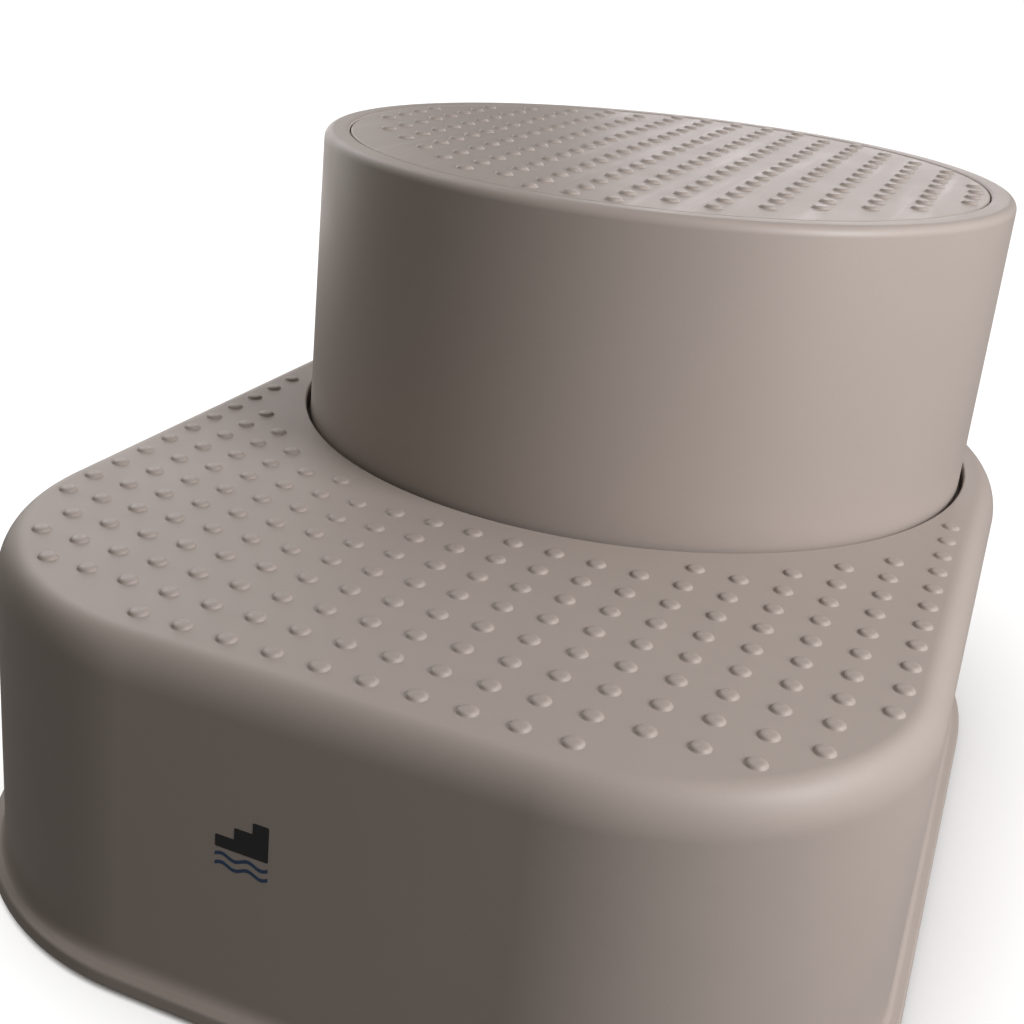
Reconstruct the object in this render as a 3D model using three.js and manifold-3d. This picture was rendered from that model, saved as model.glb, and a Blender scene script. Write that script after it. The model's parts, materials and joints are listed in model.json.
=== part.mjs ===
// Two-tier entry step for a pool or spa.
// The lower step is a drafted shell with a round-cornered front and a semicircular
// back. The upper step is a round drum that drops into a shallow well in the lower
// step and lifts straight out. The drum's tread is a separate inlaid disc, screwed on
// from below. Rubber feet plug into bosses under the lower step.
// Units are millimetres, +Z is up, and the front faces -Y.
import * as THREE from 'three';
import { mergeVertices } from 'three/addons/utils/BufferGeometryUtils.js';
import Module from 'manifold-3d';

const wasm = await Module();
wasm.setup();

// ---------------------------------------------------------------- dimensions
const LOWER_RISE = 192;        // floor to lower tread
const UPPER_RISE = 181;        // lower tread to upper tread
const DRUM_Y = 100;            // drum axis, behind the middle of the footprint
const BACK_Y = 95;             // centre of the lower step's semicircular back
const HALF_W = 250;            // half width of the lower step, at its tread
const FRONT_RUN = 445;         // drum axis to the front wall, at the tread
const CORNER_R = 150;          // front corner radius in plan
const DRAFT = 0.030;           // outward slope of the lower step's wall
const TREAD_EDGE_R = 14;       // rounding where the wall meets the lower tread
const WALL = 4;                // moulded wall thickness
const SKIRT_Z = 3;             // underside of the lower step's wall
const FLANGE_OUT = 8;          // how far the foot flange stands out from the wall
const FLANGE_TOP = 12;         // top of the foot flange

const WELL_R = 227.5;          // round well that takes the drum
const WELL_DEPTH = 14;
const WELL_FLOOR_T = 4;
const WELL_WALL_T = 4;

const DRUM_R = 224.6;           // drum radius at the lower tread
const DRUM_DRAFT = 0.020;
const DRUM_RIM_R = 6;          // rounding of the drum's rim
const INLAY_R = 205;           // upper tread disc
const INLAY_T = 3.7;
const INLAY_DROP = 0.5;        // the disc lies this far below the rim
const RECESS_R = 205.5;
const PLATE_T = 4;             // drum's top plate

const SEAT_PADS = 6;
const SEAT_PAD_T = 2;
const GAP = 0.3;               // clearance between pieces that touch

const FOOT_R = 12;
const FOOT_T = 5;
const FOOT_STEM_R = 3;
const FOOT_STEM_TOP = 15;
const BOSS_R = 15.5;
const BOSS_TOP = 30;
const RIB_DEPTH = 12;         // shallow ribs under the treads

const INLAY_SCREWS = 6;
const INLAY_SCREW_RING = 150;

// ---------------------------------------------------------------- materials
const shellPlastic = new THREE.MeshStandardMaterial({ color: 0x9f9590, roughness: 0.55, metalness: 0 });
const drumPlastic = new THREE.MeshStandardMaterial({ color: 0xa1968f, roughness: 0.55, metalness: 0 });
const treadPlastic = new THREE.MeshStandardMaterial({ color: 0xa59b97, roughness: 0.45, metalness: 0 });
const footRubber = new THREE.MeshStandardMaterial({ color: 0x2b2a29, roughness: 0.85, metalness: 0 });
const seatRubber = new THREE.MeshStandardMaterial({ color: 0x3a3836, roughness: 0.85, metalness: 0 });
const screwSteel = new THREE.MeshStandardMaterial({ color: 0xb9bbbd, roughness: 0.35, metalness: 1 });

// ---------------------------------------------------------------- solid helpers
function toSolid(geometry) {
  let g = geometry.clone();
  g.deleteAttribute('normal');
  g.deleteAttribute('uv');
  g = mergeVertices(g, 1e-4);
  const p = g.attributes.position.array;
  const src = g.index.array;
  const tri = [];
  for (let i = 0; i < src.length; i += 3) {
    const [a, b, c] = [src[i], src[i + 1], src[i + 2]];
    if (a !== b && b !== c && a !== c) tri.push(a, b, c);
  }
  let volume = 0;
  for (let i = 0; i < tri.length; i += 3) {
    const [a, b, c] = [tri[i] * 3, tri[i + 1] * 3, tri[i + 2] * 3];
    volume += p[a] * (p[b + 1] * p[c + 2] - p[b + 2] * p[c + 1])
      - p[a + 1] * (p[b] * p[c + 2] - p[b + 2] * p[c])
      + p[a + 2] * (p[b] * p[c + 1] - p[b + 1] * p[c]);
  }
  if (volume < 0) for (let i = 0; i < tri.length; i += 3) [tri[i + 1], tri[i + 2]] = [tri[i + 2], tri[i + 1]];
  return new wasm.Manifold(new wasm.Mesh({
    numProp: 3,
    vertProperties: new Float32Array(p),
    triVerts: new Uint32Array(tri),
  }));
}

function fromSolid(solid) {
  const m = solid.getMesh();
  const g = new THREE.BufferGeometry();
  g.setAttribute('position', new THREE.BufferAttribute(new Float32Array(m.vertProperties), 3));
  g.setIndex(new THREE.BufferAttribute(new Uint32Array(m.triVerts), 1));
  g.computeVertexNormals();
  return g;
}

function addMesh(parent, name, geometry, material) {
  const mesh = new THREE.Mesh(geometry, material);
  mesh.name = name;
  parent.add(mesh);
  return mesh;
}

// A turned solid about the vertical axis through (cx, cy). The profile is [radius, z].
function turned(profile, segments, cx = 0, cy = 0) {
  const g = new THREE.LatheGeometry(profile.map(([r, z]) => new THREE.Vector2(r, z)), segments);
  g.rotateX(Math.PI / 2);
  g.translate(cx, cy, 0);
  return g;
}

function box(x0, x1, y0, y1, z0, z1) {
  const g = new THREE.BoxGeometry(x1 - x0, y1 - y0, z1 - z0);
  g.translate((x0 + x1) / 2, (y0 + y1) / 2, (z0 + z1) / 2);
  return g;
}

// Plan outline of the lower step, moved outward by d, counterclockwise from above.
const CORNER_X = HALF_W - CORNER_R;
const CORNER_Y = DRUM_Y - FRONT_RUN + CORNER_R;
function outline(d) {
  const pts = [];
  const arc = (cx, cy, r, from, to, n) => {
    for (let i = 0; i <= n; i++) {
      const a = from + (to - from) * i / n;
      pts.push([cx + r * Math.cos(a), cy + r * Math.sin(a)]);
    }
  };
  arc(CORNER_X, CORNER_Y, CORNER_R + d, -Math.PI / 2, 0, 12);
  arc(0, BACK_Y, HALF_W + d, 0, Math.PI, 36);
  arc(-CORNER_X, CORNER_Y, CORNER_R + d, Math.PI, 1.5 * Math.PI, 12);
  return pts;
}

// A closed solid through a stack of outlines, given as [z, offset] from the bottom up.
function lofted(stations) {
  const rings = stations.map(([z, d]) => outline(d).map(([x, y]) => [x, y, z]));
  const n = rings[0].length;
  const positions = rings.flat(2);
  const index = [];
  for (let k = 0; k + 1 < rings.length; k++) {
    for (let i = 0; i < n; i++) {
      const j = (i + 1) % n;
      const [a, b, c, e] = [k * n + i, k * n + j, (k + 1) * n + j, (k + 1) * n + i];
      index.push(a, b, c, a, c, e);
    }
  }
  const cap = (ring, z, up) => {
    const centre = positions.length / 3;
    positions.push(0, DRUM_Y - 100, z);
    for (let i = 0; i < n; i++) {
      const a = ring * n + i;
      const b = ring * n + (i + 1) % n;
      if (up) index.push(a, b, centre); else index.push(b, a, centre);
    }
  };
  cap(0, stations[0][0], false);
  cap(rings.length - 1, stations[stations.length - 1][0], true);
  const g = new THREE.BufferGeometry();
  g.setAttribute('position', new THREE.BufferAttribute(new Float32Array(positions), 3));
  g.setIndex(index);
  return g;
}

const wallOut = (z) => DRAFT * (LOWER_RISE - z);

// ---------------------------------------------------------------- the object
const spaSteps = new THREE.Group();
spaSteps.name = 'two_tier_step';
const lowerStep = new THREE.Group();
const upperStep = new THREE.Group();
spaSteps.add(lowerStep, upperStep);

// Feet stand in from the wall at eight places round the outline.
const FOOT_INSET = 12;
const feet = (() => {
  const r = CORNER_R - FOOT_INSET;
  const R = HALF_W - FOOT_INSET;
  const onCorner = (side) => [side * (CORNER_X + r * Math.SQRT1_2), CORNER_Y - r * Math.SQRT1_2];
  const onBack = (deg) => [R * Math.cos(deg * Math.PI / 180), BACK_Y + R * Math.sin(deg * Math.PI / 180)];
  return [
    ['foot_front_left', onCorner(-1)],
    ['foot_front_right', onCorner(1)],
    ['foot_front_centre', [0, CORNER_Y - r]],
    ['foot_side_left', [-R, -30]],
    ['foot_side_right', [R, -30]],
    ['foot_back_left', onBack(145)],
    ['foot_back_right', onBack(35)],
    ['foot_back_centre', onBack(90)],
  ];
})();

// Lower step: drafted shell, foot flange, drum well, full-height cross web under the
// drum's front edge, shallow ribs under the treads, and bosses for the feet.
{
  const edge = [];
  const zEdge = LOWER_RISE - TREAD_EDGE_R;
  for (let i = 0; i <= 4; i++) {
    const a = (Math.PI / 2) * i / 4;
    edge.push([zEdge + TREAD_EDGE_R * Math.sin(a), wallOut(zEdge) - TREAD_EDGE_R * (1 - Math.cos(a))]);
  }
  const flange = wallOut(SKIRT_Z) + FLANGE_OUT;
  const outer = toSolid(lofted([
    [SKIRT_Z, flange - 0.8],
    [SKIRT_Z + 0.8, flange],
    [FLANGE_TOP - 1.5, flange - 0.3],
    [FLANGE_TOP, flange - 2.2],
    [FLANGE_TOP + 1.2, wallOut(FLANGE_TOP) + 2.4],
    [FLANGE_TOP + 6, wallOut(FLANGE_TOP + 6)],
    ...edge,
  ]));
  const innerStations = (grow) => [
    [-10, wallOut(-10) - WALL + grow],
    [LOWER_RISE - 16, wallOut(LOWER_RISE - 16) - WALL + grow],
    [LOWER_RISE - WALL - 4, -6.5 + grow],
    [LOWER_RISE - WALL + grow, -13 + grow],
  ];
  const inner = toSolid(lofted(innerStations(0)));
  const ribZone = toSolid(lofted(innerStations(1.5)));
  const floorZ = LOWER_RISE - WELL_DEPTH;
  const plug = toSolid(turned([
    [0, floorZ - WELL_FLOOR_T], [WELL_R + WELL_WALL_T, floorZ - WELL_FLOOR_T],
    [WELL_R + WELL_WALL_T, LOWER_RISE + 5], [0, LOWER_RISE + 5],
  ], 72, 0, DRUM_Y));
  const well = toSolid(turned([
    [0, floorZ], [WELL_R - 1, floorZ], [WELL_R, floorZ + 1], [WELL_R, LOWER_RISE - 1.2],
    [WELL_R + 0.4, LOWER_RISE - 0.4], [WELL_R + 1.2, LOWER_RISE],
    [WELL_R + 1.2, LOWER_RISE + 10], [0, LOWER_RISE + 10],
  ], 72, 0, DRUM_Y));

  let ribs = toSolid(box(-262, 262, DRUM_Y - WELL_R - 2, DRUM_Y - WELL_R + 2, 8, LOWER_RISE));
  const webY = DRUM_Y - WELL_R;
  const frontRibZ = LOWER_RISE - WALL - RIB_DEPTH;
  const backRibZ = floorZ - WELL_FLOOR_T - RIB_DEPTH;
  for (const x of [-120, 0, 120]) {
    ribs = ribs.add(toSolid(box(x - 1.5, x + 1.5, -360, webY, frontRibZ, LOWER_RISE)));
    ribs = ribs.add(toSolid(box(x - 1.5, x + 1.5, webY, 360, backRibZ, LOWER_RISE)));
  }
  ribs = ribs.add(toSolid(box(-262, 262, -241.5, -238.5, frontRibZ, LOWER_RISE)));
  for (const y of [-20, 88, 196]) ribs = ribs.add(toSolid(box(-262, 262, y - 1.5, y + 1.5, backRibZ, LOWER_RISE)));
  ribs = ribs.intersect(ribZone);

  let shell = outer.subtract(inner.subtract(plug)).add(ribs);
  for (const [, [x, y]] of feet) {
    const boss = toSolid(turned([[0, SKIRT_Z], [BOSS_R, SKIRT_Z], [BOSS_R - 1.5, BOSS_TOP], [0, BOSS_TOP]], 16, x, y));
    shell = shell.add(boss.intersect(ribZone));
  }
  shell = shell.subtract(well);
  for (const [, [x, y]] of feet) {
    shell = shell.subtract(toSolid(turned([
      [0, -5], [FOOT_R + GAP, -5], [FOOT_R + GAP, FOOT_T + GAP], [FOOT_STEM_R + GAP, FOOT_T + GAP],
      [FOOT_STEM_R + GAP, FOOT_STEM_TOP + 1], [0, FOOT_STEM_TOP + 1],
    ], 16, x, y)));
  }
  // three small drain holes in the well floor
  for (const deg of [90, 210, 330]) {
    const a = deg * Math.PI / 180;
    shell = shell.subtract(toSolid(turned([[0, floorZ - 10], [5, floorZ - 10], [5, floorZ + 5], [0, floorZ + 5]],
      16, 205 * Math.cos(a), DRUM_Y + 205 * Math.sin(a))));
  }
  addMesh(lowerStep, 'lower_step_shell', fromSolid(shell), shellPlastic);
}

// Rubber feet, each with a ribbed stem that pushes up into its boss.
for (const [name, [x, y]] of feet) {
  addMesh(lowerStep, name, fromSolid(toSolid(turned([
    [0, 0], [FOOT_R - 1, 0], [FOOT_R, 1], [FOOT_R, FOOT_T], [FOOT_STEM_R, FOOT_T],
    [FOOT_STEM_R, FOOT_STEM_TOP], [0, FOOT_STEM_TOP],
  ], 16, x, y))), footRubber);
}

// Seat pads on the well floor, under the drum's bottom edge.
for (let i = 0; i < SEAT_PADS; i++) {
  const g = box(216.5, 225, -14, 14, 0, SEAT_PAD_T);
  const pad = addMesh(lowerStep, `seat_pad_${i + 1}`, g, seatRubber);
  pad.position.set(0, DRUM_Y, LOWER_RISE - WELL_DEPTH + GAP);
  pad.rotation.z = (30 + 60 * i) * Math.PI / 180;
}

// Upper step: drum shell with a round rim, a recess for the tread disc and radial ribs.
const TOP = LOWER_RISE + UPPER_RISE;
const RECESS_Z = TOP - INLAY_DROP - INLAY_T - GAP;
const PLATE_Z = RECESS_Z - PLATE_T;
const DRUM_BOTTOM = LOWER_RISE - WELL_DEPTH + GAP + SEAT_PAD_T + GAP;
const drumR = (z) => DRUM_R - DRUM_DRAFT * (z - LOWER_RISE);
{
  const rimZ = TOP - DRUM_RIM_R;
  const rim = [];
  for (let i = 0; i <= 5; i++) {
    const a = (Math.PI / 2) * (1 - i / 5);
    rim.push([drumR(rimZ) - DRUM_RIM_R + DRUM_RIM_R * Math.cos(a), rimZ + DRUM_RIM_R * Math.sin(a)]);
  }
  let drum = toSolid(turned([
    [0, RECESS_Z], [RECESS_R, RECESS_Z], [RECESS_R, TOP - 0.5], [RECESS_R + 0.5, TOP],
    ...rim,
    [drumR(DRUM_BOTTOM + 1), DRUM_BOTTOM + 1], [drumR(DRUM_BOTTOM) - 0.8, DRUM_BOTTOM],
    [drumR(DRUM_BOTTOM) - WALL, DRUM_BOTTOM], [drumR(PLATE_Z - 5) - WALL, PLATE_Z - 5],
    [drumR(PLATE_Z) - WALL - 1.5, PLATE_Z - 1.5], [drumR(PLATE_Z) - WALL - 5, PLATE_Z], [0, PLATE_Z],
  ], 72));
  const hub = toSolid(turned([[0, PLATE_Z - RIB_DEPTH - 1], [13, PLATE_Z - RIB_DEPTH - 1], [14, PLATE_Z + 1], [0, PLATE_Z + 1]], 24));
  drum = drum.add(hub);
  for (let i = 0; i < 6; i++) {
    const rib = box(8, drumR(PLATE_Z) - 2, -1.5, 1.5, PLATE_Z - RIB_DEPTH, PLATE_Z + 1);
    rib.rotateZ(i * Math.PI / 3);
    drum = drum.add(toSolid(rib));
  }
  for (let i = 0; i < INLAY_SCREWS; i++) {
    const a = (30 + 60 * i) * Math.PI / 180;
    drum = drum.subtract(toSolid(turned([[0, PLATE_Z - 3], [5 + GAP, PLATE_Z - 3], [5 + GAP, RECESS_Z + 3], [0, RECESS_Z + 3]],
      16, INLAY_SCREW_RING * Math.cos(a), INLAY_SCREW_RING * Math.sin(a))));
  }
  const mesh = addMesh(upperStep, 'upper_step_drum', fromSolid(drum), drumPlastic);
  mesh.position.y = DRUM_Y;
}

// Upper tread disc with six blind bosses that reach into the drum's top plate.
{
  const z0 = RECESS_Z + GAP;
  let disc = toSolid(turned([
    [0, z0], [INLAY_R, z0], [INLAY_R, z0 + INLAY_T - 0.5], [INLAY_R - 0.5, z0 + INLAY_T], [0, z0 + INLAY_T],
  ], 72));
  for (let i = 0; i < INLAY_SCREWS; i++) {
    const a = (30 + 60 * i) * Math.PI / 180;
    const [x, y] = [INLAY_SCREW_RING * Math.cos(a), INLAY_SCREW_RING * Math.sin(a)];
    disc = disc.add(toSolid(turned([[0, PLATE_Z + GAP], [5, PLATE_Z + GAP], [5, z0 + 1], [0, z0 + 1]], 16, x, y)));
    disc = disc.subtract(toSolid(turned([[0, PLATE_Z - 1], [2.3, PLATE_Z - 1], [2.3, z0 + 2], [0, z0 + 2]], 12, x, y)));
  }
  const mesh = addMesh(upperStep, 'upper_tread_disc', fromSolid(disc), treadPlastic);
  mesh.position.y = DRUM_Y;
}

// Washer-head screws that hold the disc, driven from inside the drum.
for (let i = 0; i < INLAY_SCREWS; i++) {
  const a = (30 + 60 * i) * Math.PI / 180;
  const head = PLATE_Z - GAP;
  const screw = fromSolid(toSolid(turned([
    [0, head - 3], [3.4, head - 3], [4.2, head - 2.2], [4.4, head - 1], [8, head - 1], [8, head],
    [1.9, head], [1.9, RECESS_Z + GAP + 1.4], [0, RECESS_Z + GAP + 1.4],
  ], 16)));
  const mesh = addMesh(upperStep, `tread_screw_${i + 1}`, screw, screwSteel);
  mesh.position.set(INLAY_SCREW_RING * Math.cos(a), DRUM_Y + INLAY_SCREW_RING * Math.sin(a), 0);
}

export default spaSteps;
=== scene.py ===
import json
import math
import bpy
import bmesh
import numpy as np
from mathutils import Matrix, Vector
from mathutils.geometry import delaunay_2d_cdt, tessellate_polygon

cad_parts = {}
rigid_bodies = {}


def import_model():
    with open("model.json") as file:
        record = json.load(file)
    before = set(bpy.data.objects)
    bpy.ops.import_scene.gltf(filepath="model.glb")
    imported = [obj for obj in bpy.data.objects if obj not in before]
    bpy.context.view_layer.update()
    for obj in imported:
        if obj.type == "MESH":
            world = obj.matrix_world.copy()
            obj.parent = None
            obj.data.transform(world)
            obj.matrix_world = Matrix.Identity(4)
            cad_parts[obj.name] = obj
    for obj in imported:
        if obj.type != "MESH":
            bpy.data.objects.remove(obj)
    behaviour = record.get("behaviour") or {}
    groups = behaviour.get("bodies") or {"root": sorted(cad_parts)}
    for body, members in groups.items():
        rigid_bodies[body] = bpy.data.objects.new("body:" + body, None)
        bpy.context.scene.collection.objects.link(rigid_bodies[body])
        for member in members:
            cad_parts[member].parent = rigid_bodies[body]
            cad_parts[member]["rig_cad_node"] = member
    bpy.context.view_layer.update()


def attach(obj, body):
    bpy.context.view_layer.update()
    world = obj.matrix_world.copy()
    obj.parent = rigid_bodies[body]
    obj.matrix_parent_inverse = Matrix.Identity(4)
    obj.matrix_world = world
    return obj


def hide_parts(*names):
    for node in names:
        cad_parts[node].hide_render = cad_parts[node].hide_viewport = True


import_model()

# Two-tier entry step. Lengths are in millimetres until a mesh is made, which turns
# them into metres. +Z is up and the front faces -Y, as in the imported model.
scene = bpy.context.scene

# ------------------------------------------------------------------ dimensions
RISE = 192.0            # lower tread
TOP = 373.0             # drum rim
AXIS = (0.0, 100.0)     # drum and well
DRAFT = 0.030
WELL_R = 227.5
WELL_FLOOR = 178.0
DISC_TOP = 372.5
DISC_LOW = 368.8
RECESS_Z = 368.5
PLATE_Z = 364.5
DRUM_LOW = 180.6
PITCH = 24.0
FEET = {
    "foot_front_left": (-197.58, -292.58), "foot_front_right": (197.58, -292.58),
    "foot_front_centre": (0.0, -333.0), "foot_side_left": (-238.0, -30.0),
    "foot_side_right": (238.0, -30.0), "foot_back_left": (-194.96, 231.51),
    "foot_back_right": (194.96, 231.51), "foot_back_centre": (0.0, 333.0),
}
N_CORNER, N_BACK, N_ROUND = 48, 144, 256


def wall_out(z):
    return DRAFT * (RISE - z)


def drum_r(z):
    return 224.6 - .020 * (z - RISE)


# ------------------------------------------------------------------ mesh tools
class Builder:
    """Collects rings of shared vertices into one closed mesh."""

    def __init__(self):
        self.v, self.f = [], []

    def ring(self, pts):
        k = len(self.v)
        self.v.extend(tuple(p) for p in pts)
        return list(range(k, k + len(pts)))

    def point(self, p):
        self.v.append(tuple(p))
        return len(self.v) - 1

    def band(self, a, b, flip=False):
        """Quads from ring a to ring b; outward for a below b, both counterclockwise."""
        n = len(a)
        for i in range(n):
            j = (i + 1) % n
            q = (a[i], a[j], b[j], b[i])
            self.f.append(q[::-1] if flip else q)

    def fan(self, a, c, flip=False):
        n = len(a)
        for i in range(n):
            t = (a[i], a[(i + 1) % n], c)
            self.f.append(t[::-1] if flip else t)

    def plane(self, loops, up=True, extra=()):
        """Triangulates the area inside the first loop, which is convex, and outside the
        others, which are circles. extra is a list of free vertices inside it."""
        ids = [i for loop in loops for i in loop] + list(extra)
        pts = [Vector(self.v[i][:2]) for i in ids]
        edges, k = [], 0
        for loop in loops:
            n = len(loop)
            edges += [(k + i, k + (i + 1) % n) for i in range(n)]
            k += n
        out = delaunay_2d_cdt(pts, edges, [], 2, 1e-6, True)
        remap = [src[0] for src in out[3]]
        hole = {i: k for k, loop in enumerate(loops[1:]) for i in loop}
        for tri in out[2]:
            t = [ids[remap[i]] for i in tri]
            owners = {hole.get(i, -1) for i in t}
            if len(owners) == 1 and -1 not in owners:
                continue                             # all three corners on one circle: inside the hole
            a, b, c = (self.v[i] for i in t[:3])
            area = (b[0] - a[0]) * (c[1] - a[1]) - (b[1] - a[1]) * (c[0] - a[0])
            if (area > 0) != up:
                t.reverse()
            self.f.append(tuple(t))

    def obj(self, name):
        me = bpy.data.meshes.new(name)
        me.from_pydata([(x * .001, y * .001, z * .001) for x, y, z in self.v], [], self.f)
        me.validate()
        me.update()
        ob = bpy.data.objects.new(name, me)
        scene.collection.objects.link(ob)
        return ob


def circle(r, z, n, cx=0.0, cy=0.0, turn=0.0):
    return [(cx + r * math.cos(turn + 2 * math.pi * i / n), cy + r * math.sin(turn + 2 * math.pi * i / n), z)
            for i in range(n)]


def outline(d, z):
    """Plan outline of the lower step, moved outward by d, at height z."""
    pts = []

    def arc(cx, cy, r, a0, a1, n):
        for i in range(n + 1):
            a = math.radians(a0 + (a1 - a0) * i / n)
            pts.append((cx + r * math.cos(a), cy + r * math.sin(a), z))

    arc(100, -195, 150 + d, -90, 0, N_CORNER)
    arc(0, 95, 250 + d, 0, 180, N_BACK)
    arc(-100, -195, 150 + d, 180, 270, N_CORNER)
    return pts


def turned(name, profile, n, cx=0.0, cy=0.0):
    """Closed turned solid from [r, z] pairs, from the axis at the top round to the axis at the bottom."""
    b = Builder()
    rings = [b.ring(circle(r, z, n, cx, cy)) if r > 1e-6 else b.point((cx, cy, z)) for r, z in profile]
    for lo, hi in zip(rings[1:], rings[:-1]):
        if isinstance(hi, int):
            b.fan(lo, hi)
        elif isinstance(lo, int):
            b.fan(hi, lo, flip=True)
        else:
            b.band(lo, hi)
    return b.obj(name)


def block(name, x0, x1, y0, y1, z0, z1):
    b = Builder()
    lo = b.ring([(x0, y0, z0), (x1, y0, z0), (x1, y1, z0), (x0, y1, z0)])
    hi = b.ring([(x0, y0, z1), (x1, y0, z1), (x1, y1, z1), (x0, y1, z1)])
    b.band(lo, hi)
    b.f.append(tuple(hi))
    b.f.append(tuple(lo[::-1]))
    return b.obj(name)


def combine(a, others, op):
    """a with each of the others united, cut out or kept in common; the others are used up."""
    for o in others:
        m = a.modifiers.new("bool", "BOOLEAN")
        m.operation, m.object = op, o
        m.solver = "MANIFOLD"
        bpy.context.view_layer.update()
        me = bpy.data.meshes.new_from_object(a.evaluated_get(bpy.context.evaluated_depsgraph_get()))
        a.modifiers.clear()
        if len(me.polygons) < 4 or len(me.vertices) == len(a.data.vertices):
            print("boolean by the exact solver:", a.name, op)
            m = a.modifiers.new("bool", "BOOLEAN")
            m.operation, m.object, m.solver = op, o, "EXACT"
            bpy.context.view_layer.update()
            me = bpy.data.meshes.new_from_object(a.evaluated_get(bpy.context.evaluated_depsgraph_get()))
            a.modifiers.clear()
        old, a.data = a.data, me
        me.name = a.name
        bpy.data.meshes.remove(old)
        bpy.data.objects.remove(o)
    return a


def join(name, parts):
    """Several closed meshes that don't touch, as one."""
    bm = bmesh.new()
    for o in parts:
        bm.from_mesh(o.data)
        bpy.data.objects.remove(o)
    me = bpy.data.meshes.new(name)
    bm.to_mesh(me)
    bm.free()
    ob = bpy.data.objects.new(name, me)
    scene.collection.objects.link(ob)
    return ob


def finish_mesh(ob, angle=38.0, weighted=True):
    me = ob.data
    me.polygons.foreach_set("use_smooth", np.ones(len(me.polygons), bool))
    me.set_sharp_from_angle(angle=math.radians(angle))
    if weighted:
        m = ob.modifiers.new("normals", "WEIGHTED_NORMAL")
        m.mode, m.weight, m.keep_sharp = "FACE_AREA", 70, True
        bpy.context.view_layer.update()
        new = bpy.data.meshes.new_from_object(ob.evaluated_get(bpy.context.evaluated_depsgraph_get()),
                                              preserve_all_data_layers=True,
                                              depsgraph=bpy.context.evaluated_depsgraph_get())
        ob.modifiers.clear()
        old, ob.data = ob.data, new
        new.name = ob.name
        bpy.data.meshes.remove(old)
    return ob


def fillet(r_edge, z_edge, rad, a0, a1, n):
    """[r, z] pairs round a fillet centred at (r_edge, z_edge)."""
    return [(r_edge + rad * math.cos(math.radians(a0 + (a1 - a0) * i / n)),
             z_edge + rad * math.sin(math.radians(a0 + (a1 - a0) * i / n))) for i in range(n + 1)]


# ------------------------------------------------------------------ studs
STUD = [(5.45, 0), (5.25, .05), (5.0, .24), (4.7, .62), (4.35, 1.06), (3.95, 1.38), (3.4, 1.58), (2.6, 1.69), (1.3, 1.73)]
STUD_TOP = 1.74
STUD_N = 28


def add_studs(b, centres, z):
    """Adds moulded-in studs and returns the loops that they leave in the tread plane."""
    loops = []
    for cx, cy in centres:
        rings = [b.ring(circle(r, z + h, STUD_N, cx, cy)) for r, h in STUD]
        for lo, hi in zip(rings[:-1], rings[1:]):
            b.band(lo, hi)
        b.fan(rings[-1], b.point((cx, cy, z + STUD_TOP)))
        loops.append(rings[0])
    return loops


LOWER_ROWS = {9.5: (3, 13), 8.5: (1, 10), 7.5: (0, 9), 6.5: (0, 8), 5.5: (0, 7), 4.5: (-1, 7),
              3.5: (-1, 6), 2.5: (-1, 6), 1.5: (-1, 6), .5: (-1, 6)}
lower_studs = []
for k, (v0, v1) in LOWER_ROWS.items():
    for v in range(v0, v1 + 1):
        x, y = k * PITCH, (v - 16.4) * PITCH + 100
        far = math.hypot(x - 100, y + 195)
        if x > 100 and y < -195 and far > 129.1:        # stays on the flat inside the corner's rounding
            x, y = 100 + (x - 100) * 129.1 / far, -195 + (y + 195) * 129.1 / far
        lower_studs += [(-x, y), (x, y)]
FIRST = {0: -8, 1: -8, 2: -7, 3: -7, 4: -6, 5: -5, 6: -4, 7: -3, 8: -1}
LAST = {0: 8, 1: 8, 2: 8, 3: 7, 4: 7, 5: 6, 6: 5, 7: 4, 8: 2}
turn = math.radians(.5)
upper_studs = []
for k in range(-8, 9):
    for n in range(FIRST[abs(k)], LAST[abs(k)] + 1):
        x = k * PITCH * math.cos(turn) - n * PITCH * math.sin(turn) + 2.6
        y = k * PITCH * math.sin(turn) + n * PITCH * math.cos(turn) - 1.2
        keep = min(1.0, 197.1 / max(1.0, math.hypot(x, y)))
        upper_studs.append((x * keep, AXIS[1] + y * keep))

# ------------------------------------------------------------------ lower step shell
b = Builder()
F = wall_out(3) + 8
stations = [(3, F - 1.0), (3.25, F - .45), (3.9, F - .02), (4.6, F), (9.4, F - .25), (10.6, F - .45), (11.3, F - 1.0),
            (11.7, F - 1.9), (11.95, wall_out(12) + 3.2), (12.6, wall_out(12.6) + 1.9),
            (14.2, wall_out(14.2) + .8), (16.4, wall_out(16.4) + .2), (19, wall_out(19)), (60, wall_out(60)),
            (110, wall_out(110)), (145, wall_out(145)), (162, wall_out(162))]
N_EDGE = 18
for i in range(N_EDGE + 1):
    a = math.pi / 2 * i / N_EDGE
    stations.append((170 + 22 * math.sin(a), wall_out(170) - 15 * (1 - math.cos(a))))
rings = [b.ring(outline(d, z)) for z, d in stations]
for lo, hi in zip(rings[:-1], rings[1:]):
    b.band(lo, hi)
hold = b.ring(outline(-14.75, RISE))
b.band(rings[-1], hold)
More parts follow.
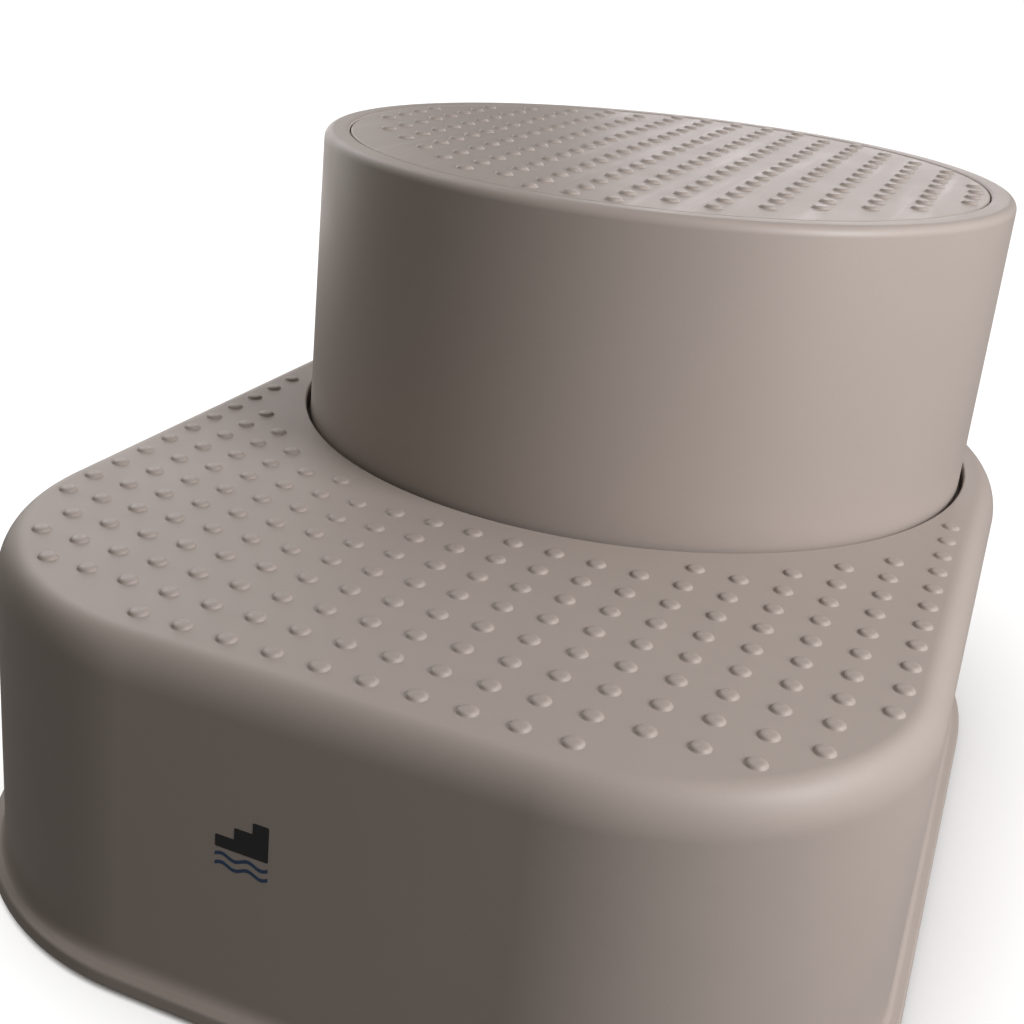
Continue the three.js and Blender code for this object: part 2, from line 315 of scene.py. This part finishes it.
# well: lip, wall and floor, from the tread down
well = [(229.6, RISE), (228.75, RISE)] + [
    (WELL_R + 1.25 - 1.25 * math.sin(a), RISE - 1.25 + 1.25 * math.cos(a))
    for a in (math.pi / 2 * i / 6 for i in range(1, 7))] + [
    (WELL_R, 186), (WELL_R, 180.2), (WELL_R - .25, 179.1), (WELL_R - .9, 178.3), (WELL_R - 1.9, WELL_FLOOR),
    (WELL_R - 3.2, WELL_FLOOR)]
wr = [b.ring(circle(r, z, N_ROUND, *AXIS)) for r, z in well]
for hi, lo in zip(wr[:-1], wr[1:]):
    b.band(lo, hi, flip=True)
b.plane([hold, wr[0]] + add_studs(b, lower_studs, RISE))
drains = [(205 * math.cos(math.radians(d)), AXIS[1] + 205 * math.sin(math.radians(d))) for d in (90, 210, 330)]
top_holes, low_holes = [], []
for x, y in drains:
    tube = [b.ring(circle(r, z, 32, x, y)) for r, z in ((5.6, WELL_FLOOR), (5.15, WELL_FLOOR - .2), (5, WELL_FLOOR - .6), (5, 174))]
    for hi, lo in zip(tube[:-1], tube[1:]):
        b.band(lo, hi, flip=True)
    top_holes.append(tube[0])
    low_holes.append(tube[-1])
b.plane([wr[-1]] + top_holes)
# inner skin
inner = [(3, wall_out(3) - 4), (60, wall_out(60) - 4), (120, wall_out(120) - 4), (174, wall_out(174) - 4),
         (180, -4.35), (184.2, -6.4), (186.8, -9.2), (188, -12.8)]
ir = [b.ring(outline(d, z)) for z, d in inner]
b.band(rings[0], ir[0], flip=True)
for lo, hi in zip(ir[:-1], ir[1:]):
    b.band(lo, hi, flip=True)
plug = [(231.5, 188), (231.5, 175.2), (231.1, 174.35), (230.2, 174)]
pr = [b.ring(circle(r, z, N_ROUND, *AXIS)) for r, z in plug]
for hi, lo in zip(pr[:-1], pr[1:]):
    b.band(lo, hi)
b.plane([ir[-1], pr[0]], up=False)
b.plane([pr[-1]] + low_holes, up=False)
shell = b.obj("shell_body")

# ribs, cross web and foot bosses, trimmed to lie inside the wall
z_b = Builder()
zone = [(-10, wall_out(-10) - 2.5), (176, wall_out(176) - 2.5), (184, -5.0), (189.5, -11.5)]
zr = [z_b.ring(outline(d, z)) for z, d in zone]
for lo, hi in zip(zr[:-1], zr[1:]):
    z_b.band(lo, hi)
z_b.plane([zr[-1]])
z_b.plane([zr[0]], up=False)
zone_ob = z_b.obj("zone")


def trimmed(ob):
    c = zone_ob.copy()
    c.data = zone_ob.data.copy()
    scene.collection.objects.link(c)
    return combine(ob, [c], "INTERSECT")


web_y = AXIS[1] - WELL_R
ribs = block("ribs", -262, 262, web_y - 2, web_y + 2, 8, 191)
more = []
for x in (-120, 0, 120):
    more.append(block("r", x - 1.5, x + 1.5, -360, web_y, 176, 191))
    more.append(block("r", x - 1.5, x + 1.5, web_y, 360, 162, 191))
more.append(block("r", -262, 262, -241.5, -238.5, 176, 191))
for y in (-20, 88, 196):
    more.append(block("r", -262, 262, y - 1.5, y + 1.5, 162, 191))
ribs = trimmed(combine(ribs, more, "UNION"))
ribs = combine(ribs, [turned("cut", [(0, 200), (229.5, 200), (229.5, 176), (0, 176)], N_ROUND, *AXIS)], "DIFFERENCE")
bosses = join("bosses", [turned("boss", [(0, 30), (13.2, 30), (13.8, 29.7), (14.1, 29), (15.5, 3), (0, 3)], 48, x, y)
                         for x, y in FEET.values()])
shell = combine(shell, [ribs, trimmed(bosses)], "UNION")
recess = join("recess", [turned("rec", [(0, 16), (3.3, 16), (3.3, 5.3), (12.3, 5.3), (12.3, -5), (0, -5)], 48, x, y)
                         for x, y in FEET.values()])
shell = combine(shell, [recess], "DIFFERENCE")
bpy.data.objects.remove(zone_ob)
finish_mesh(shell)
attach(shell, "lower_step")
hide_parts("lower_step_shell")

# ------------------------------------------------------------------ feet and seat pads
feet = []
for name, (x, y) in FEET.items():
    profile = [(0, 15), (2.2, 15), (2.7, 14.7), (3, 14.2), (3, 12.6), (2.6, 12.2), (2.6, 11.4), (3, 11), (3, 8.6),
               (2.6, 8.2), (2.6, 7.4), (3, 7), (3, 5.2), (3.4, 5), (11.5, 5), (11.9, 4.8), (12, 4.4), (12, 1.2), (11.75, .5),
               (11.1, .05), (10.4, 0), (9.6, 0), (9.4, .5), (8.6, .5), (8.4, 0), (7.0, 0), (6.8, .5), (6.0, .5),
               (5.8, 0), (4.4, 0), (4.2, .5), (3.4, .5), (3.2, 0), (0, 0)]
    o = turned(name + "_rubber", profile, 48, x, y)
    finish_mesh(o, 30, weighted=False)
    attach(o, "lower_step")
    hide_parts(name)
    feet.append(o)

pads = []
for i in range(6):
    a = math.radians(30 + 60 * i)
    bm = bmesh.new()
    bmesh.ops.create_cube(bm, size=1.0)
    for v in bm.verts:
        v.co = Vector((220.75 + v.co.x * 8.5, v.co.y * 28, 179.3 + v.co.z * 2)) * .001
    bmesh.ops.bevel(bm, geom=bm.edges[:], offset=.00055, segments=3, profile=.6, affect="EDGES")
    bmesh.ops.transform(bm, matrix=Matrix.Translation((0, .1, 0)) @ Matrix.Rotation(a, 4, "Z"), verts=bm.verts)
    me = bpy.data.meshes.new(f"seat_pad_{i + 1}_rubber")
    bm.to_mesh(me)
    bm.free()
    o = bpy.data.objects.new(me.name, me)
    scene.collection.objects.link(o)
    finish_mesh(o, 50)
    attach(o, "lower_step")
    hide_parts(f"seat_pad_{i + 1}")
    pads.append(o)

# ------------------------------------------------------------------ drum
rim = [(drum_r(367) - 6 + x, z) for x, z in fillet(0, 367, 6, 90, 1.1, 16)]
profile = ([(0, RECESS_Z), (100, RECESS_Z), (203, RECESS_Z), (205.5, RECESS_Z + .05), (205.5, RECESS_Z + 1), (205.5, 371.6),
            (205.6, 371.95), (205.85, 372.25), (206.3, 372.52), (206.9, 372.74), (207.6, 372.88), (208.4, 372.97), (209.2, TOP),
            (211, TOP), (213.6, TOP)] + rim
           + [(drum_r(360), 360), (drum_r(320), 320), (drum_r(270), 270), (drum_r(220), 220), (drum_r(186), 186),
              (drum_r(181.9), 181.9), (drum_r(181.3) - .2, 181.2), (drum_r(180.6) - .9, DRUM_LOW),
              (drum_r(180.6) - 3.4, DRUM_LOW), (drum_r(181.3) - 3.95, 181.1), (drum_r(182) - 4, 182),
              (drum_r(270) - 4, 270), (drum_r(355) - 4, 355.7), (drum_r(360) - 4.7, 361.3), (drum_r(362) - 6.2, 363.3),
              (drum_r(363) - 9, PLATE_Z), (150, PLATE_Z), (0, PLATE_Z)])
drum = turned("drum_body", profile, N_ROUND, *AXIS)
hub = turned("hub", [(0, 365.5), (14, 365.5), (13.1, 351.9), (12.6, 351.5), (8, 351.5), (7.4, 352.1), (7.4, 359.7), (0, 359.7)], 64, *AXIS)
parts = [hub]
for i in range(6):
    o = block("rib", 10, drum_r(PLATE_Z) - 2, -1.5, 1.5, 352.5, 365.5)
    o.data.transform(Matrix.Translation((0, .1, 0)) @ Matrix.Rotation(i * math.pi / 3, 4, "Z"))
    parts.append(o)
drum = combine(drum, parts, "UNION")
ring150 = [(150 * math.cos(math.radians(30 + 60 * i)), AXIS[1] + 150 * math.sin(math.radians(30 + 60 * i))) for i in range(6)]
drum = combine(drum, [join("holes", [turned("h", [(0, 371.7), (5.3, 371.7), (5.3, 360.7), (0, 360.7)], 32, x, y) for x, y in ring150])],
               "DIFFERENCE")
finish_mesh(drum)
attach(drum, "upper_step")
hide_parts("upper_step_drum")

# ------------------------------------------------------------------ tread disc
b = Builder()
edge = [(204.2, DISC_LOW), (204.5, DISC_LOW + .15), (204.6, DISC_LOW + .5), (204.6, DISC_TOP - 1.2), (204.53, DISC_TOP - .75),
        (204.34, DISC_TOP - .4), (204.08, DISC_TOP - .16), (203.8, DISC_TOP - .04), (203.5, DISC_TOP)]
er = [b.ring(circle(r, z, N_ROUND, *AXIS)) for r, z in edge]
for lo, hi in zip(er[:-1], er[1:]):
    b.band(lo, hi)
b.plane([er[-1]] + add_studs(b, upper_studs, DISC_TOP))
loops = []
for x, y in ring150:
    boss = [b.ring(circle(r, z, 32, x, y)) for r, z in ((5.4, DISC_LOW), (5, DISC_LOW - .5), (5, 365.1), (4.7, 364.8),
                                                        (2.7, 364.8), (2.3, 365.2), (2.3, 370.8))]
    for hi, lo in zip(boss[:-1], boss[1:]):
        b.band(hi, lo, flip=True)
    b.fan(boss[-1], b.point((x, y, 370.8)), flip=True)
    loops.append(boss[0])
b.plane([er[0]] + loops, up=False)
disc = b.obj("tread_disc_body")
finish_mesh(disc)
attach(disc, "upper_step")
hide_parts("upper_tread_disc")

# ------------------------------------------------------------------ screws
screws = []
for i, (x, y) in enumerate(ring150):
    s = turned(f"tread_screw_{i + 1}_steel",
               [(0, 370.2), (.5, 370.2), (1.2, 369.1), (1.9, 368.3), (1.55, 368), (1.9, 367.6), (1.55, 367.2), (1.9, 366.8),
                (1.55, 366.4), (1.9, 366), (1.55, 365.6), (1.9, 365.2), (1.9, 364.2), (7.7, 364.2), (8, 364.05), (8, 363.4),
                (7.8, 363.2), (4.6, 363.15), (4.4, 362.9), (4.3, 362.3), (3.9, 361.7), (3.2, 361.32), (2.2, 361.2), (0, 361.2)],
               40, x, y)
    cuts = []
    for k in range(2):
        c = block("c", -2.0, 2.0, -.42, .42, 359.7, 362.9)
        for v in c.data.vertices:                    # the recess narrows as it goes in
            if v.co.z > .3617:
                v.co.x *= .45
        c.data.transform(Matrix.Translation((x * .001, y * .001, 0)) @ Matrix.Rotation(k * math.pi / 2 + .3 + i, 4, "Z"))
        cuts.append(c)
    s = combine(s, cuts, "DIFFERENCE")
    finish_mesh(s, 30, weighted=False)
    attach(s, "upper_step")
    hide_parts(f"tread_screw_{i + 1}")
    screws.append(s)


# ------------------------------------------------------------------ printed mark: generic stair and wave pictogram
def printed(name, loops, lift=.10, sink=.06):
    """A thin printed film on the front wall, from plan loops of (x, z) in mm."""
    bm = bmesh.new()

    def at(p, d):
        return Vector((p[0], -345 - wall_out(p[1]) - d, p[1])) * .001

    for loop in loops:
        n = len(loop)
        fr = [bm.verts.new(at(p, lift)) for p in loop]
        bk = [bm.verts.new(at(p, -sink)) for p in loop]
        for tri in tessellate_polygon([[Vector((p[0], p[1], 0)) for p in loop]]):
            bm.faces.new([fr[i] for i in tri])
            bm.faces.new([bk[i] for i in reversed(tri)])
        for i in range(n):
            j = (i + 1) % n
            bm.faces.new([fr[i], bk[i], bk[j], fr[j]])
    bmesh.ops.recalc_face_normals(bm, faces=bm.faces)
    me = bpy.data.meshes.new(name)
    bm.to_mesh(me)
    bm.free()
    ob = bpy.data.objects.new(name, me)
    scene.collection.objects.link(ob)
    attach(ob, "lower_step")
    return ob


MX, MZ = -46.0, 122.0           # top left corner of the mark


def rounded(poly, r=.9, n=5):
    out = []
    m = len(poly)
    for i in range(m):
        p, c, q = Vector(poly[i - 1]), Vector(poly[i]), Vector(poly[(i + 1) % m])
        u, w = (p - c).normalized(), (q - c).normalized()
        half = math.acos(max(-1, min(1, u.dot(w)))) / 2
        t = min(r / math.tan(half), (p - c).length * .45, (q - c).length * .45)
        a0, a1 = c + u * t, c + w * t
        for k in range(n + 1):
            s = k / n
            out.append(tuple(a0 * (1 - s) ** 2 + c * 2 * s * (1 - s) + a1 * s ** 2))
    return out


stairs = [(MX, MZ - 19), (MX + 28, MZ - 19), (MX + 28, MZ), (MX + 19.6, MZ), (MX + 19.6, MZ - 6), (MX + 10, MZ - 6),
          (MX + 10, MZ - 12.4), (MX, MZ - 12.4)]
mark_dark = printed("print_mark_stair", [rounded(stairs, .9)])
waves = []
for k in range(2):
    z0 = MZ - 23.2 - 5.0 * k
    top = [(MX + 28 * i / 48, z0 + 1.15 * math.sin(i / 48 * 4 * math.pi) + .95) for i in range(49)]
    low = [(MX + 28 * i / 48, z0 + 1.15 * math.sin(i / 48 * 4 * math.pi) - .95) for i in range(48, -1, -1)]
    waves.append(top + low)
mark_blue = printed("print_mark_wave", waves)


# ------------------------------------------------------------------ materials
class Nodes:
    def __init__(self, name):
        self.mat = bpy.data.materials.new(name)
        self.mat.use_nodes = True
        self.t = self.mat.node_tree
        self.bsdf = self.t.nodes["Principled BSDF"]
        self.coord = self.t.nodes.new("ShaderNodeTexCoord")

    def add(self, kind, props=None, **inputs):
        n = self.t.nodes.new(kind)
        for k, v in (props or {}).items():
            setattr(n, k, v)
        for k, v in inputs.items():
            key = int(k[1:]) if k[0] == "i" and k[1:].isdigit() else k.replace("_", " ")
            if isinstance(v, bpy.types.NodeSocket):
                self.t.links.new(v, n.inputs[key])
            else:
                n.inputs[key].default_value = v
        return n

    def link(self, a, socket):
        self.t.links.new(a, socket)

    def mapped(self, scale=(1, 1, 1), rotation=(0, 0, 0), location=(0, 0, 0)):
        return self.add("ShaderNodeMapping", None, Vector=self.coord.outputs["Object"], Scale=scale, Rotation=rotation,
                        Location=location).outputs[0]

    def noise(self, vec, scale, detail=2.0, rough=.5, distort=0.0):
        return self.add("ShaderNodeTexNoise", {"noise_dimensions": "3D"}, Vector=vec, Scale=scale, Detail=detail,
                        Roughness=rough, Distortion=distort).outputs["Fac"]

    def span(self, value, f0, f1, t0, t1, smooth=False):
        return self.add("ShaderNodeMapRange", {"interpolation_type": "SMOOTHSTEP" if smooth else "LINEAR"}, i0=value,
                        i1=f0, i2=f1, i3=t0, i4=t1).outputs[0]

    def math(self, op, a, b=0.0, c=0.0):
        return self.add("ShaderNodeMath", {"operation": op}, i0=a, i1=b, i2=c).outputs[0]

    def mix(self, fac, a, b, blend="MIX"):
        n = self.add("ShaderNodeMix", {"data_type": "RGBA", "blend_type": blend})
        for key, v in ((0, fac), (6, a), (7, b)):
            if isinstance(v, bpy.types.NodeSocket):
                self.t.links.new(v, n.inputs[key])
            else:
                n.inputs[key].default_value = v if key == 0 else (*v, 1.0) if len(v) == 3 else v
        return n.outputs[2]


def scaled(c, k):
    return tuple(x * k for x in c)


def plastic(name, base, rough, grain=.06, streaks=0.0, spec=.42):
    """Moulded polypropylene: fine spark texture, faint flow marks, painted highlight on raised edges."""
    m = Nodes(name)
    obj = m.coord.outputs["Object"]
    cloud = m.noise(obj, 5.5, 3, .55)
    patch = m.noise(m.mapped(location=(3.1, 1.7, .4)), 28, 4, .6)
    fleck = m.noise(obj, 1500, 1, .5)
    col = m.mix(m.span(cloud, .35, .65, 0, 1), scaled(base, .965), scaled(base, 1.03))
    col = m.mix(m.span(patch, .3, .7, 0, 1), scaled(base, .98), col)
    col = m.mix(.5, col, m.mix(m.span(fleck, .3, .7, 0, 1), scaled(base, .955), scaled(base, 1.04)))
    # painted highlight: colour lightened on raised edges and stud rims; roughness is also lowered there further down
    geo = m.add("ShaderNodeNewGeometry")
    painted_edge_highlight = m.span(geo.outputs["Pointiness"], .515, .60, 0, .22, True)
    col = m.mix(painted_edge_highlight, col, tuple(min(1, c * 1.16 + .012) for c in base))
    # flow marks from moulding, stretched along the depth of the part
    flow = m.noise(m.mapped(scale=(95, 5, 9)), 1.0, 3, .55, .25)
    if streaks:
        col = m.mix(m.span(flow, .56, .70, 0, streaks), col, tuple(min(1, c * 1.10 + .01) for c in base))
    m.link(col, m.bsdf.inputs["Base Color"])
    r = m.math("ADD", m.span(patch, .25, .75, rough - .035, rough + .045), m.span(fleck, .3, .7, -.03, .03))
    r = m.math("SUBTRACT", r, m.span(geo.outputs["Pointiness"], .525, .60, 0, .14, True))
    if streaks:
        r = m.math("SUBTRACT", r, m.span(flow, .50, .72, 0, .07))
    m.link(r, m.bsdf.inputs["Roughness"])
    m.bsdf.inputs["Specular IOR Level"].default_value = spec
    m.bsdf.inputs["IOR"].default_value = 1.49
    # relief: spark texture, faint sink and waviness
    spark = m.noise(obj, 1900, 2, .6)
    fine = m.add("ShaderNodeBump", None, Height=spark, Strength=grain, Distance=.00025)
    wave = m.noise(m.mapped(location=(1, 4, 2)), 14, 2, .5)
    broad = m.add("ShaderNodeBump", None, Height=wave, Strength=.05, Distance=.004, Normal=fine.outputs[0])
    m.link(broad.outputs[0], m.bsdf.inputs["Normal"])
    return m.mat


def rubber(name, base, rough):
    m = Nodes(name)
    obj = m.coord.outputs["Object"]
    patch = m.noise(obj, 160, 4, .6)
    fleck = m.noise(obj, 1600, 2, .6)
    col = m.mix(m.span(patch, .35, .7, 0, 1), base, tuple(c * 1.5 + .012 for c in base))
    col = m.mix(m.span(fleck, .55, .75, 0, .35), col, tuple(c * 2.2 + .02 for c in base))
    m.link(col, m.bsdf.inputs["Base Color"])
    m.link(m.span(patch, .3, .7, rough - .07, rough + .06), m.bsdf.inputs["Roughness"])
    m.bsdf.inputs["Specular IOR Level"].default_value = .35
    bump = m.add("ShaderNodeBump", None, Height=fleck, Strength=.25, Distance=.0003)
    m.link(bump.outputs[0], m.bsdf.inputs["Normal"])
    return m.mat


def steel(name):
    m = Nodes(name)
    obj = m.coord.outputs["Object"]
    n1 = m.noise(obj, 900, 3, .6)
    n2 = m.noise(obj, 120, 3, .6)
    m.link(m.mix(m.span(n2, .35, .7, 0, 1), (.56, .565, .57), (.44, .44, .435)), m.bsdf.inputs["Base Color"])
    m.link(m.span(n1, .3, .7, .24, .42), m.bsdf.inputs["Roughness"])
    m.bsdf.inputs["Metallic"].default_value = 1.0
    bump = m.add("ShaderNodeBump", None, Height=n1, Strength=.12, Distance=.0002)
    m.link(bump.outputs[0], m.bsdf.inputs["Normal"])
    return m.mat


def ink(name, base):
    m = Nodes(name)
    obj = m.coord.outputs["Object"]
    n1 = m.noise(obj, 1300, 2, .6)
    m.link(m.mix(m.span(n1, .35, .75, 0, 1), base, tuple(c * 1.6 + .004 for c in base)), m.bsdf.inputs["Base Color"])
    m.link(m.span(n1, .3, .7, .36, .5), m.bsdf.inputs["Roughness"])
    bump = m.add("ShaderNodeBump", None, Height=n1, Strength=.15, Distance=.0002)
    m.link(bump.outputs[0], m.bsdf.inputs["Normal"])
    return m.mat


ALBEDO = (.370, .318, .285)
mat_shell = plastic("shell_plastic_moulded", ALBEDO, .48, spec=.33)
mat_drum = plastic("drum_plastic_moulded", ALBEDO, .46, grain=.05)
mat_tread = plastic("tread_plastic_moulded", scaled(ALBEDO, 1.01), .46, grain=.05, streaks=.35, spec=.42)
mat_foot = rubber("foot_rubber_moulded", (.022, .021, .020), .80)
mat_seat = rubber("seat_rubber_moulded", (.040, .038, .036), .82)
mat_screw = steel("screw_steel_plated")
mat_dark = ink("print_ink_dark", (.010, .010, .011))
mat_blue = ink("print_ink_blue", (.018, .045, .105))


def paint(ob, mat):
    ob.data.materials.clear()
    ob.data.materials.append(mat)


paint(shell, mat_shell)
paint(drum, mat_drum)
paint(disc, mat_tread)
for o in feet:
    paint(o, mat_foot)
for o in pads:
    paint(o, mat_seat)
for o in screws:
    paint(o, mat_screw)
paint(mark_dark, mat_dark)
paint(mark_blue, mat_blue)

# ------------------------------------------------------------------ floor and world
bm = bmesh.new()
bmesh.ops.create_grid(bm, x_segments=24, y_segments=24, size=14.0)
me = bpy.data.meshes.new("floor")
bm.to_mesh(me)
bm.free()
floor = bpy.data.objects.new("floor", me)
floor.location.z = -.0002        # just clear of the feet
scene.collection.objects.link(floor)
m = Nodes("floor_pale")
m.link(m.mix(m.span(m.noise(m.coord.outputs["Object"], 3, 3), .3, .7, 0, 1), (.90, .90, .90), (.915, .915, .915)), m.bsdf.inputs["Base Color"])
m.bsdf.inputs["Roughness"].default_value = .9
m.bsdf.inputs["Specular IOR Level"].default_value = 0.0
floor.data.materials.append(m.mat)
floor.visible_diffuse = False
floor.visible_glossy = False

world = bpy.data.worlds.new("studio")
scene.world = world
world.use_nodes = True
nt = world.node_tree
nt.nodes.clear()
out = nt.nodes.new("ShaderNodeOutputWorld")
mixs = nt.nodes.new("ShaderNodeMixShader")
path = nt.nodes.new("ShaderNodeLightPath")
dim = nt.nodes.new("ShaderNodeBackground")
dim.inputs[0].default_value = (1, .97, .93, 1)
dim.inputs[1].default_value = .168
white = nt.nodes.new("ShaderNodeBackground")
white.inputs[0].default_value = (1, 1, 1, 1)
white.inputs[1].default_value = 1.0
nt.links.new(path.outputs["Is Camera Ray"], mixs.inputs[0])
nt.links.new(dim.outputs[0], mixs.inputs[1])
nt.links.new(white.outputs[0], mixs.inputs[2])
nt.links.new(mixs.outputs[0], out.inputs[0])

# ------------------------------------------------------------------ lights
lit = bpy.data.collections.new("lit_pieces")
ground = bpy.data.collections.new("lit_floor")
TARGET = Vector((0, 0, .2))
LIGHTS = [(-15, 32, (1.950, 1.930, 1.970)), (150, 32, (.345, .335, .352)), (-20, 6, (.400, .388, .395)),
          (95, 18, (.323, .309, .317)), (160, 6, (.262, .246, .238)), (140, 6, (.182, .168, .164)),
          (30, 32, (.155, .184, .200)), (180, 32, (.143, .148, .128)), (135, 17, (.130, .127, .127)),
          (150, 60, (.090, .095, .098)), (-30, 60, (.170, .160, .150))]
for az, el, power in LIGHTS:
    d = Vector((math.cos(math.radians(az)) * math.cos(math.radians(el)), math.sin(math.radians(az)) * math.cos(math.radians(el)),
                math.sin(math.radians(el))))
    data = bpy.data.lights.new(f"soft_{az}_{el}", "AREA")
    data.shape, data.size, data.size_y = "RECTANGLE", .7, .7
    data.energy = max(power) * math.pi ** 2
    data.color = [p / max(power) for p in power]
    o = bpy.data.objects.new(data.name, data)
    o.location = TARGET + d * 1.5
    o.rotation_euler = (TARGET - o.location).to_track_quat("-Z", "Y").to_euler()
    scene.collection.objects.link(o)
    o.light_linking.receiver_collection = lit
    o.visible_camera = False
sun = bpy.data.lights.new("soft_overhead", "SUN")
sun.energy, sun.angle = 3.6, math.radians(70)
so = bpy.data.objects.new("soft_overhead", sun)
so.rotation_euler = (math.radians(8), math.radians(-6), 0)
scene.collection.objects.link(so)
so.light_linking.receiver_collection = ground

# ------------------------------------------------------------------ camera
right = Vector((0.92048229, 0.38086919, 0.0874701))
down = Vector((0.22662887, -0.33792625, -0.91347972))
view = Vector((-0.31835784, 0.86066515, -0.39737108))
cam_data = bpy.data.cameras.new("camera")
cam_data.sensor_fit, cam_data.sensor_width, cam_data.lens = "HORIZONTAL", 36.0, 1343.00521 / 1024 * 36
cam_data.clip_start, cam_data.clip_end = .01, 100
cam = bpy.data.objects.new("camera", cam_data)
cam.matrix_world = Matrix.Translation((0.23994, -0.77300, 0.49794)) @ Matrix((right, -down, -view)).transposed().to_4x4()
scene.collection.objects.link(cam)
scene.camera = cam
scene.view_settings.view_transform = "Standard"

ground.objects.link(floor)
for o in list(scene.objects):
    if o.type == "MESH" and o is not floor and "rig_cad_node" not in o:
        lit.objects.link(o)
